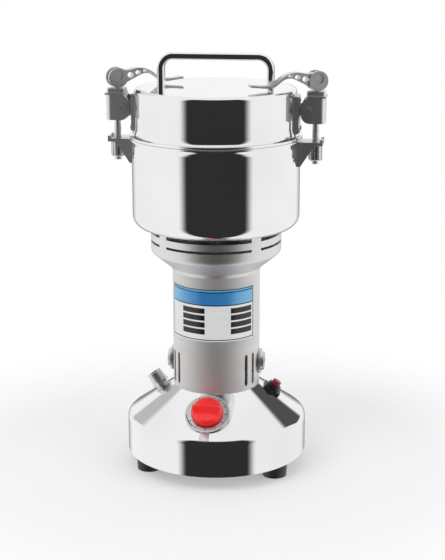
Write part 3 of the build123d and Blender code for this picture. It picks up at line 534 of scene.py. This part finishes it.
class GRINDER_OT_timer_knob(bpy.types.Operator):
    """Shape the timer knob: a fluted skirt and a ridge with scooped sides."""

    bl_idname = "grinder.timer_knob"
    bl_label = "Timer knob"

    def execute(self, context):
        radius = KNOB_RADIUS
        body = radius - 0.7 * MM
        skirt = 3.0 * MM
        crown, crown_fall = 6.4 * MM, 1.2 * MM
        ridge_rise, ridge_half, ridge_fall = 4.7 * MM, 3.0 * MM, 0.16
        ridge_steepness = 2.6
        edge_round = 1.3 * MM
        flute_depth = 0.35 * MM
        bevel, bevel_in = 0.3 * MM, 0.25 * MM
        plate_gap = 1.5 * MM
        flutes = detail().flute_count
        around = flutes * 6
        rings_in, crowding = 22, 1.5
        form = bmesh.new()

        def height(x, y):
            across = math.hypot(x, y)
            ridge = math.exp(-(abs(y) / ridge_half) ** ridge_steepness) * (1 - ridge_fall * (x / radius) ** 2)
            top = crown - crown_fall * (across / radius) ** 2 + ridge_rise * ridge
            edge = max(0.0, min(1.0, (body - across) / edge_round))
            edge = math.sqrt(1 - (1 - edge) ** 2)
            return skirt + (top - skirt) * edge

        grid = []
        for ring in range(1, rings_in + 1):
            share = 1 - (1 - ring / rings_in) ** crowding
            row = []
            for step in range(around):
                angle = 2 * math.pi * step / around
                reach = body * share
                x, y = reach * math.cos(angle), reach * math.sin(angle)
                row.append(form.verts.new((x, y, height(x, y))))
            grid.append(row)
        for level in (skirt, skirt - bevel, bevel, 0.0):
            row = []
            soft = bevel_in if level in (skirt, 0.0) else 0.0
            for step in range(around):
                angle = 2 * math.pi * step / around
                flute = flute_depth * (0.5 + 0.5 * math.cos(flutes * angle))
                reach = radius - soft - flute
                row.append(form.verts.new((reach * math.cos(angle), reach * math.sin(angle), level)))
            grid.append(row)
        peak = form.verts.new((0, 0, height(0, 0)))
        foot = form.verts.new((0, 0, 0))
        for step in range(around):
            after = (step + 1) % around
            form.faces.new((peak, grid[0][step], grid[0][after]))
            form.faces.new((foot, grid[-1][after], grid[-1][step]))
            for near, far in zip(grid, grid[1:]):
                form.faces.new((near[step], far[step], far[after], near[after]))
        form.transform(frame_matrix(DIAL_CENTRE + DIAL_NORMAL * plate_gap, DIAL_NORMAL, LEVEL))
        knob = add_piece("ridged_knob", form, "red_knob", "timer_dial")
        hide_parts("timer_knob")
        return {"FINISHED"}


class GRINDER_OT_dial_tab(bpy.types.Operator):
    """Lay the small plate below the dial."""

    bl_idname = "grinder.dial_tab"
    bl_label = "Dial tab"

    def execute(self, context):
        wide, long, thick, corner = 7.4 * MM, 10.0 * MM, 0.5 * MM, 0.8 * MM
        bevel, lift = 0.12 * MM, 0.12 * MM
        below_dial = 2.9 * MM
        outline = []
        for x, y, start in ((1, 1, 0), (-1, 1, 90), (-1, -1, 180), (1, -1, 270)):
            centre = (x * (wide / 2 - corner), y * (long / 2 - corner))
            outline += arc(centre, corner, start, start + 90, 5)
        form = bmesh.new()
        low = [form.verts.new((x, y, 0)) for x, y in outline]
        high = [form.verts.new((x, y, thick - bevel)) for x, y in outline]
        shrink = 1 - 2 * bevel / wide
        top = [form.verts.new((x * shrink, y * shrink, thick)) for x, y in outline]
        for near, far in ((low, high), (high, top)):
            for first in range(len(outline)):
                second = (first + 1) % len(outline)
                form.faces.new((near[first], near[second], far[second], far[first]))
        form.faces.new(top)
        form.faces.new(list(reversed(low)))
        up_slope = frame_matrix(Vector(), DIAL_NORMAL, LEVEL).col[1].xyz
        centre = DIAL_CENTRE - up_slope * (DIAL_RADIUS + below_dial) + DIAL_NORMAL * lift
        form.transform(frame_matrix(centre, DIAL_NORMAL, LEVEL))
        add_piece("dial_tab", form, "dial_aluminium", "housing")
        return {"FINISHED"}


class GRINDER_OT_rim_rolls(bpy.types.Operator):
    """Roll the flared edges where the lid meets the bowl."""

    bl_idname = "grinder.rim_rolls"
    bl_label = "Rim rolls"

    def execute(self, context):
        bead = 1.0 * MM
        flare = detail().roll_height
        lid_wall = RIM_RADIUS - 4.1 * MM
        inner = lid_wall - 0.4 * MM
        outer = RIM_RADIUS - bead + 0.15 * MM
        bend = outer - 0.2 * MM - lid_wall
        flare_top = SEAL_TOP + 1.8 * MM + flare
        flare_steps = 9
        outline = [(inner, SEAL_TOP + 0.1 * MM), (inner, flare_top), (lid_wall + 0.02 * MM, flare_top)]
        for step in range(1, flare_steps):
            turn = math.radians(90 * step / flare_steps)
            outline.append((lid_wall + bend * (1 - math.cos(turn)), flare_top - flare * math.sin(turn)))
        outline += arc((outer, SEAL_TOP + bead - 0.05 * MM), bead, 85, -85, 10)
        lathe("lid_rim_roll", outline, "polished_steel", "lid")

        rim = BOWL_TOP.z
        wall = RIM_RADIUS - 1.4 * MM
        inner = wall - 0.6 * MM
        foot = rim - 5.4 * MM
        outline = [(inner, foot), (wall + 0.02 * MM, foot)]
        outline += [(wall + 0.35 * MM, rim - 3.8 * MM), (wall + 1.0 * MM, rim - 2.4 * MM)]
        outline += arc((RIM_RADIUS - bead + 0.2 * MM, rim - bead - 0.15 * MM), bead, -30, 85, 8)
        outline += [(inner, rim - 0.15 * MM)]
        lathe("bowl_rim_roll", outline, "polished_steel", "housing")
        return {"FINISHED"}


class GRINDER_OT_bolt_threads(bpy.types.Operator):
    """Add the thread ridges of the two draw bolts."""

    bl_idname = "grinder.bolt_threads"
    bl_label = "Bolt threads"

    def execute(self, context):
        def build(nodes, inputs):
            line = nodes.add("GeometryNodeMeshLine", mode="OFFSET")
            nodes.link(inputs.outputs["Count"], line.inputs["Count"])
            offset = nodes.add("ShaderNodeCombineXYZ")
            nodes.link(inputs.outputs["Pitch"], offset.inputs[2])
            nodes.link(offset.outputs[0], line.inputs["Offset"])
            ridge = nodes.add("GeometryNodeCurvePrimitiveCircle")
            ridge.inputs["Resolution"].default_value = 28
            nodes.link(inputs.outputs["Radius"], ridge.inputs["Radius"])
            profile = nodes.add("GeometryNodeCurvePrimitiveCircle")
            profile.inputs["Resolution"].default_value = 6
            nodes.link(inputs.outputs["Ridge"], profile.inputs["Radius"])
            sweep = nodes.add("GeometryNodeCurveToMesh")
            nodes.link(ridge.outputs[0], sweep.inputs[0])
            nodes.link(profile.outputs[0], sweep.inputs[1])
            spread = nodes.add("GeometryNodeInstanceOnPoints")
            nodes.link(line.outputs[0], spread.inputs["Points"])
            nodes.link(sweep.outputs[0], spread.inputs["Instance"])
            return spread.outputs[0]

        pitch = detail().thread_pitch
        ridge_radius, ridge_size = 2.42 * MM, 0.26 * MM
        head_length = 4.4 * MM
        for side in ("left", "right"):
            bolt_low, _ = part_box(f"{side}_draw_bolt")
            nut_low, nut_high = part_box(f"{side}_clamp_nut")
            box_low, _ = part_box(f"{side}_clamp_box")
            axis = (nut_low + nut_high) / 2
            spans = (
                ("upper", nut_high.z + 0.4 * MM, box_low.z - head_length),
                ("lower", bolt_low.z + 0.3 * MM, nut_low.z - 0.2 * MM),
            )
            for part, low, high in spans:
                count = max(2, int((high - low) / pitch))
                values = {"Count": count, "Pitch": pitch, "Radius": ridge_radius, "Ridge": ridge_size}
                name = f"{side}_bolt_thread_{part}"
                piece = piece_from_tree(name, build, values, "bracket_steel")
                settle(piece, Matrix.Translation((axis.x, axis.y, low)), f"{side}_bolt")
        return {"FINISHED"}


class GRINDER_OT_stage(bpy.types.Operator):
    """Set the floor, the studio light and the camera."""

    bl_idname = "grinder.stage"
    bl_label = "Studio"

    def execute(self, context):
        add_floor()
        add_world()
        add_lights()
        add_camera()
        context.scene.view_settings.view_transform = "Standard"
        return {"FINISHED"}


def add_floor():
    """A pale floor that keeps the shadow and fades into the white background."""
    radius = 0.9
    fade_start, fade_end, least_fade = 0.09, radius * 0.36, 0.30
    bpy.ops.mesh.primitive_circle_add(vertices=96, radius=radius, fill_type="NGON")
    floor = bpy.context.object
    floor.name = "floor"
    material = bpy.data.materials.new("pale_floor")
    material.use_nodes = True
    nodes = Nodes(material.node_tree)
    output = nodes.add("ShaderNodeOutputMaterial")
    coordinates = nodes.add("ShaderNodeTexCoord")
    length = nodes.add("ShaderNodeVectorMath", operation="LENGTH")
    nodes.link(coordinates.outputs["Object"], length.inputs[0])
    fade = nodes.step(length.outputs["Value"], fade_start, fade_end)
    fade = nodes.math("MAXIMUM", fade, least_fade)
    diffuse = nodes.add("ShaderNodeBsdfDiffuse")
    diffuse.inputs["Color"].default_value = (0.93, 0.93, 0.93, 1)
    clear = nodes.add("ShaderNodeBsdfTransparent")
    path = nodes.add("ShaderNodeLightPath")
    unseen = nodes.math("MAXIMUM", path.outputs["Is Glossy Ray"], path.outputs["Is Transmission Ray"])
    hide = nodes.math("MAXIMUM", fade, unseen)
    blend = nodes.add("ShaderNodeMixShader")
    nodes.link(hide, blend.inputs[0])
    nodes.link(diffuse.outputs[0], blend.inputs[1])
    nodes.link(clear.outputs[0], blend.inputs[2])
    nodes.link(blend.outputs[0], output.inputs[0])
    floor.data.materials.append(material)


def add_world():
    """Even white light; metal also sees a dark zone in front and dark flags behind."""
    world = bpy.data.worlds.new("studio")
    bpy.context.scene.world = world
    world.use_nodes = True
    nodes = Nodes(world.node_tree)
    output = nodes.add("ShaderNodeOutputWorld")
    coordinates = nodes.add("ShaderNodeTexCoord")
    mapping = nodes.add("ShaderNodeMapping")
    mapping.inputs["Rotation"].default_value = (0, 0, -STAGE_TURN)
    nodes.link(coordinates.outputs["Generated"], mapping.inputs["Vector"])
    parts = nodes.add("ShaderNodeSeparateXYZ")
    nodes.link(mapping.outputs[0], parts.inputs[0])
    x, y, z = parts.outputs
    room_sides = (math.radians(39), math.radians(53))
    room_top = (0.78, 0.92)
    flag_low, flag_high, flag_soft = 0.30, 0.66, 0.04
    right_sides, right_soft, right_depth = (math.radians(26), math.radians(52)), 0.04, 0.94
    left_sides, left_soft, left_depth = (math.radians(-46), math.radians(-30)), 0.05, 0.45
    behind_sides, behind_top, behind_depth = (math.radians(6), math.radians(42)), (-0.10, 0.10), 0.80
    depth = 0.97
    soft_strength = 0.72

    front = nodes.math("ABSOLUTE", nodes.math("ARCTAN2", x, nodes.math("MULTIPLY", y, -1.0)))
    dark = nodes.math("MULTIPLY", nodes.fall(front, *room_sides), nodes.fall(z, *room_top))
    back = nodes.math("ARCTAN2", x, y)
    tall = nodes.span(z, flag_low, flag_high, flag_soft)
    right_flag = nodes.math("MULTIPLY", tall, nodes.span(back, *right_sides, right_soft))
    right_flag = nodes.math("MULTIPLY", right_flag, right_depth)
    left_flag = nodes.math("MULTIPLY", tall, nodes.span(back, *left_sides, left_soft))
    left_flag = nodes.math("MULTIPLY", left_flag, left_depth)
    behind = nodes.fall(nodes.math("ABSOLUTE", back), *behind_sides)
    edges = nodes.math("MULTIPLY", behind, nodes.fall(z, *behind_top))
    edges = nodes.math("MULTIPLY", edges, behind_depth)
    for flag in (right_flag, left_flag, edges):
        dark = nodes.math("MAXIMUM", dark, flag)
    level = nodes.math("SUBTRACT", 1.0, nodes.math("MULTIPLY", dark, depth))
    path = nodes.add("ShaderNodeLightPath")
    seen = nodes.add("ShaderNodeBackground")
    seen.inputs["Strength"].default_value = 1.0
    mirror = nodes.add("ShaderNodeBackground")
    nodes.link(level, mirror.inputs["Strength"])
    soft = nodes.add("ShaderNodeBackground")
    soft.inputs["Strength"].default_value = soft_strength
    first = nodes.add("ShaderNodeMixShader")
    nodes.link(path.outputs["Is Glossy Ray"], first.inputs[0])
    nodes.link(soft.outputs[0], first.inputs[1])
    nodes.link(mirror.outputs[0], first.inputs[2])
    second = nodes.add("ShaderNodeMixShader")
    nodes.link(path.outputs["Is Camera Ray"], second.inputs[0])
    nodes.link(first.outputs[0], second.inputs[1])
    nodes.link(seen.outputs[0], second.inputs[2])
    nodes.link(second.outputs[0], output.inputs[0])
    for background in (seen, mirror, soft):
        background.inputs["Color"].default_value = WHITE


def add_lights():
    """Two soft boxes, unseen in the polished metal."""
    target = Vector((0, 0, 0.15))
    boxes = (
        ("key", (-0.7, -0.9, 1.3), 0.9, 7.0),
        ("fill", (1.0, -0.5, 0.8), 0.8, 3.0),
    )
    for name, place, width, power in boxes:
        lamp = bpy.data.lights.new(name, "AREA")
        lamp.size = width
        lamp.energy = power
        lamp_object = bpy.data.objects.new(name, lamp)
        lamp_object.location = place
        aim = target - Vector(place)
        lamp_object.rotation_euler = aim.to_track_quat("-Z", "Y").to_euler()
        lamp_object.visible_glossy = False
        bpy.context.scene.collection.objects.link(lamp_object)


def add_camera():
    """A long lens a metre away, a little above the lid."""
    camera = bpy.data.cameras.new("camera")
    camera.lens = 90.34
    camera.clip_start = 0.05
    camera_object = bpy.data.objects.new("camera", camera)
    place = Matrix.Rotation(STAGE_TURN, 4, "Z") @ Vector((0.0048, -1.050, 0.4346))
    look_down = math.radians(15.314)
    lean = math.radians(-0.10)
    pitch = math.radians(90) - look_down
    roll = Matrix.Rotation(lean, 4, "Z")
    turn = Matrix.Rotation(STAGE_TURN, 4, "Z") @ Matrix.Rotation(pitch, 4, "X") @ roll
    camera_object.matrix_world = Matrix.Translation(place) @ turn
    bpy.context.scene.collection.objects.link(camera_object)
    bpy.context.scene.camera = camera_object


class GRINDER_PT_panel(bpy.types.Panel):
    """Lists the grinder's steps in the sidebar."""

    bl_idname = "GRINDER_PT_panel"
    bl_label = "Swing Grinder"
    bl_space_type = "VIEW_3D"
    bl_region_type = "UI"
    bl_category = "Grinder"

    def draw(self, context):
        layout = self.layout
        for name in ("steel", "steel_roughness", "tube", "knob", "band"):
            layout.prop(context.scene.grinder_finish, name)
        for name in ("tick_count", "flute_count", "roll_height", "thread_pitch"):
            layout.prop(context.scene.grinder_detail, name)
        for step in STEPS:
            layout.operator(step.bl_idname)


STEPS = (
    GRINDER_OT_finishes,
    GRINDER_OT_dial_marks,
    GRINDER_OT_timer_knob,
    GRINDER_OT_dial_tab,
    GRINDER_OT_rim_rolls,
    GRINDER_OT_bolt_threads,
    GRINDER_OT_stage,
)
CLASSES = (GrinderFinish, GrinderDetail) + STEPS + (GRINDER_PT_panel,)


def register():
    """Makes the settings, steps and panel known to Blender."""
    for cls in CLASSES:
        bpy.utils.register_class(cls)
    bpy.types.Scene.grinder_finish = bpy.props.PointerProperty(type=GrinderFinish)
    bpy.types.Scene.grinder_detail = bpy.props.PointerProperty(type=GrinderDetail)


def unregister():
    """Takes them away again."""
    del bpy.types.Scene.grinder_finish
    del bpy.types.Scene.grinder_detail
    for cls in reversed(CLASSES):
        bpy.utils.unregister_class(cls)


def main():
    """Makes the whole scene, one operator at a time."""
    register()
    for step in STEPS:
        group, name = step.bl_idname.split(".")
        getattr(getattr(bpy.ops, group), name)()


if __name__ == "__main__":
    main()
